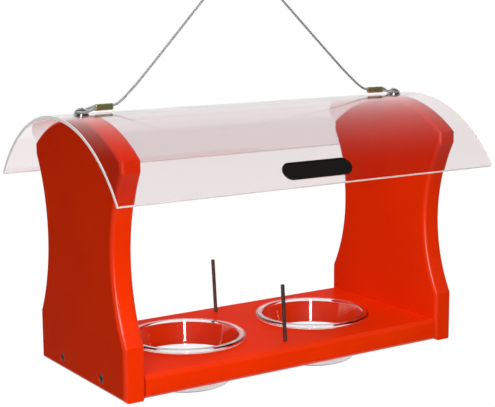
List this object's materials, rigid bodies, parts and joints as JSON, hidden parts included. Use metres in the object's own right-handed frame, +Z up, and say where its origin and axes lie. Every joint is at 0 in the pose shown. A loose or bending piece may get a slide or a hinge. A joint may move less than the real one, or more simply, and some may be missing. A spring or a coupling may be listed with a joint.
{
  "type": "oriole feeder",
  "caption": "Hanging bird feeder: a tray board with drop-in cups and fruit pins between waisted end panels, under a bent clear roof hung from a wire rope.",
  "frame": {"origin": "middle of the feeder, level with the cups' bottoms, which are its lowest points", "axes": "+X along the feeder from the left panel to the right one, -Y out of the front, which carries the badge, +Z up"},
  "size_m": [0.378, 0.2186, 0.3689],
  "materials": {
    "orange_board": "satin through-coloured plastic board with rounded edges",
    "clear_sheet": "clear glossy sheet",
    "clear_cup": "clear glossy moulding",
    "pin_steel": "dull steel rod",
    "dark_screw": "dark plated steel",
    "bright_screw": "bright plated steel",
    "washer_steel": "bright plated steel",
    "ferrule_metal": "dull greenish brass",
    "wire_rope": "twisted grey wire strands",
    "black_badge": "glossy black"
  },
  "bodies": {
    "root": {"left_end_panel": "orange_board", "right_end_panel": "orange_board", "tray_board": "orange_board", "roof_sheet": "clear_sheet", "left_cup": "clear_cup", "right_cup": "clear_cup", "front_fruit_pin": "pin_steel", "back_fruit_pin": "pin_steel", "left_panel_screws": "dark_screw", "right_panel_screws": "dark_screw", "left_roof_screw": "bright_screw", "right_roof_screw": "bright_screw", "left_roof_washer": "washer_steel", "right_roof_washer": "washer_steel", "left_ferrule": "ferrule_metal", "right_ferrule": "ferrule_metal", "hanging_rope": "wire_rope", "badge_plate": "black_badge"}
  },
  "joints": []
}
